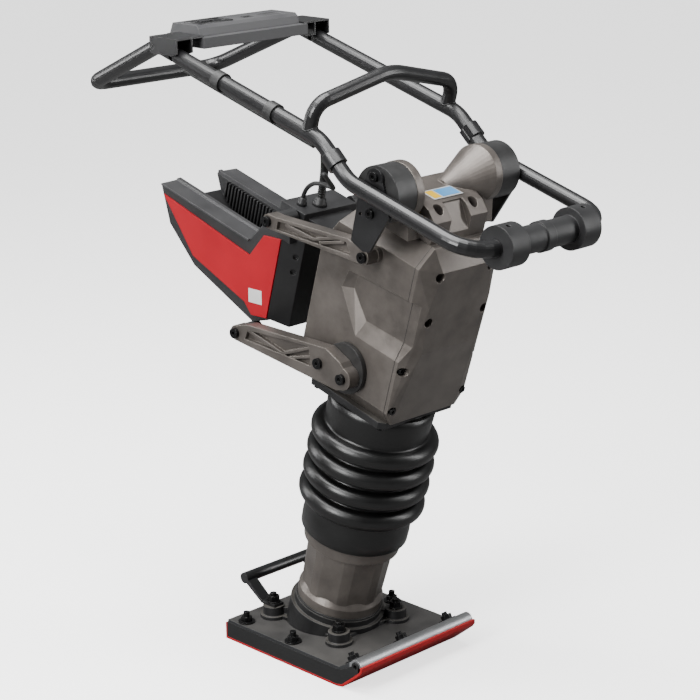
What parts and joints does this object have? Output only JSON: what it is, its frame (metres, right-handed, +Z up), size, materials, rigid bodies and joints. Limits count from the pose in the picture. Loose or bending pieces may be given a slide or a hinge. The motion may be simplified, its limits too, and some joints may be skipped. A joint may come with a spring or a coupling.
{
  "type": "tamping rammer",
  "caption": "Battery powered upright tamping rammer: sprung shoe and leg with bellows, crankcase, rubber mounted tube handle with roller, battery bay and control panel.",
  "frame": {"origin": "centre of the sole's underside, on the ground", "axes": "+X forward to the lifting roller, +Y to the machine's left, +Z up"},
  "size_m": [0.9571, 0.35, 1.0806],
  "materials": {
    "sole_red": "satin",
    "core_black": "matte",
    "deck_steel": "satin",
    "black_fasteners": "satin",
    "black_casting": "satin",
    "black_steel": "satin",
    "rubber": "matte",
    "grey_casting": "satin",
    "bare_steel": "machined",
    "spring_steel": "satin",
    "alloy": "machined",
    "copper": "varnished",
    "black_plastic": "satin",
    "switch_plastic": "satin",
    "red_plastic": "satin",
    "grey_plastic": "satin"
  },
  "bodies": {
    "foot": {"sole_plate": "sole_red", "shoe_core": "core_black", "shoe_deck": "deck_steel", "shoe_bolts": "black_fasteners", "base_casting": "black_casting", "base_nuts": "black_fasteners", "foot_grip": "black_steel", "leg_gasket": "rubber", "leg_casting": "grey_casting", "spring_cylinder": "bare_steel", "lower_spring": "spring_steel"},
    "upper": {"bellows": "rubber", "guide_cylinder": "bare_steel", "base_flange": "black_casting", "flange_bolts": "black_fasteners", "crankcase": "grey_casting", "front_cover": "grey_casting", "crankcase_bolts": "black_fasteners", "crank_bearings": "bare_steel", "motor_stator": "copper", "top_casting": "grey_casting", "drum_right": "rubber", "drum_left": "rubber", "torsion_disc_right": "rubber", "torsion_disc_left": "rubber", "boss_bolts": "black_fasteners", "controller_housing": "black_plastic", "bay_cables": "rubber"},
    "piston": {"piston": "alloy", "piston_rod": "bare_steel", "upper_spring": "spring_steel"},
    "crank": {"crank_gear": "bare_steel"},
    "con_rod": {"con_rod": "bare_steel"},
    "rotor": {"motor_rotor": "bare_steel"},
    "handle": {"side_tube_right": "black_steel", "side_tube_left": "black_steel", "roller_shaft": "black_steel", "lifting_hoop": "black_steel", "rear_loop": "black_steel", "mount_plate_right": "black_steel", "mount_plate_left": "black_steel", "mount_bolts": "black_fasteners", "tube_collars": "black_steel", "panel_brackets": "black_steel", "control_panel": "black_plastic", "panel_pod": "black_plastic", "tube_harness": "rubber"},
    "roller": {"roller": "black_plastic"},
    "start_button": {"start_button": "switch_plastic"},
    "speed_rocker": {"speed_rocker": "switch_plastic"},
    "lower_arms": {"lower_arm_right": "grey_casting", "lower_arm_left": "grey_casting", "arm_bolts": "black_fasteners"},
    "upper_arms": {"upper_arm_right": "grey_casting", "upper_arm_left": "grey_casting"},
    "bay": {"pivot_bolts": "black_fasteners", "bay_shell": "black_plastic", "side_panels": "red_plastic", "bay_rails": "grey_plastic"},
    "latch": {"battery_latch": "switch_plastic"}
  },
  "joints": [
    {"name": "leg_stroke", "type": "slide", "parent": "foot", "child": "upper", "axis": [0.2756, 0, 0.9613], "range_m": [-0.03, 0.035], "stiffness_N_per_m": 60000, "springref_m": 0.008, "deforming": ["bellows"]},
    {"name": "piston_travel", "type": "slide", "parent": "upper", "child": "piston", "axis": [0.2756, 0, 0.9613], "range_m": [0, 0.044], "stiffness_N_per_m": 2000, "springref_m": -0.03, "deforming": ["upper_spring", "lower_spring"]},
    {"name": "crank_spin", "type": "hinge", "parent": "upper", "child": "crank", "pos_m": [0.14445, 0, 0.67288], "axis": [0, 1, 0], "continuous": true},
    {"name": "rotor_spin", "type": "hinge", "parent": "upper", "child": "rotor", "pos_m": [0.13367, 0, 0.74458], "axis": [0, 1, 0], "continuous": true},
    {"name": "con_rod_swing", "type": "hinge", "parent": "crank", "child": "con_rod", "pos_m": [0.13838, 0, 0.65173], "axis": [0, 1, 0], "continuous": true},
    {"name": "handle_rock", "type": "hinge", "parent": "upper", "child": "handle", "pos_m": [0.2166, 0, 0.85921], "axis": [0, 1, 0], "range_deg": [-3, 3], "stiffness_Nm_per_rad": 4000},
    {"name": "roller_spin", "type": "hinge", "parent": "handle", "child": "roller", "pos_m": [0.42753, 0, 0.80393], "axis": [0, 1, 0], "continuous": true},
    {"name": "start_press", "type": "slide", "parent": "handle", "child": "start_button", "axis": [0, 0, 1], "range_m": [-0.004, 0], "stiffness_N_per_m": 300, "springref_m": 0.001},
    {"name": "speed_select", "type": "hinge", "parent": "handle", "child": "speed_rocker", "pos_m": [-0.25361, -0.053, 1.0732], "axis": [0, 1, 0], "range_deg": [-12, 12]},
    {"name": "lower_arm_swing", "type": "hinge", "parent": "upper", "child": "lower_arms", "pos_m": [0.09941, 0, 0.54848], "axis": [0, 1, 0], "range_deg": [-2, 2], "stiffness_Nm_per_rad": 4000},
    {"name": "bay_level", "type": "hinge", "parent": "lower_arms", "child": "bay", "pos_m": [-0.13972, 0, 0.56711], "axis": [0, 1, 0], "range_deg": [-2.1, 2.1]},
    {"name": "upper_arm_swing", "type": "hinge", "parent": "upper", "child": "upper_arms", "pos_m": [0.16746, 0, 0.74951], "axis": [0, 1, 0], "range_deg": [-2.3, 2.3]},
    {"name": "latch_tip", "type": "hinge", "parent": "bay", "child": "latch", "pos_m": [-0.13133, 0, 0.71971], "axis": [0, 1, 0], "range_deg": [0, 6], "stiffness_Nm_per_rad": 6, "springref_deg": -6.88}
  ],
  "couplings": [
    {"joint": "rotor_spin", "follows": "crank_spin", "ratio": -3.1429},
    {"joint": "con_rod_swing", "follows": "crank_spin", "ratio": -1},
    {"joint": "bay_level", "follows": "lower_arm_swing", "ratio": -1},
    {"joint": "upper_arm_swing", "follows": "lower_arm_swing", "ratio": 1.09}
  ]
}
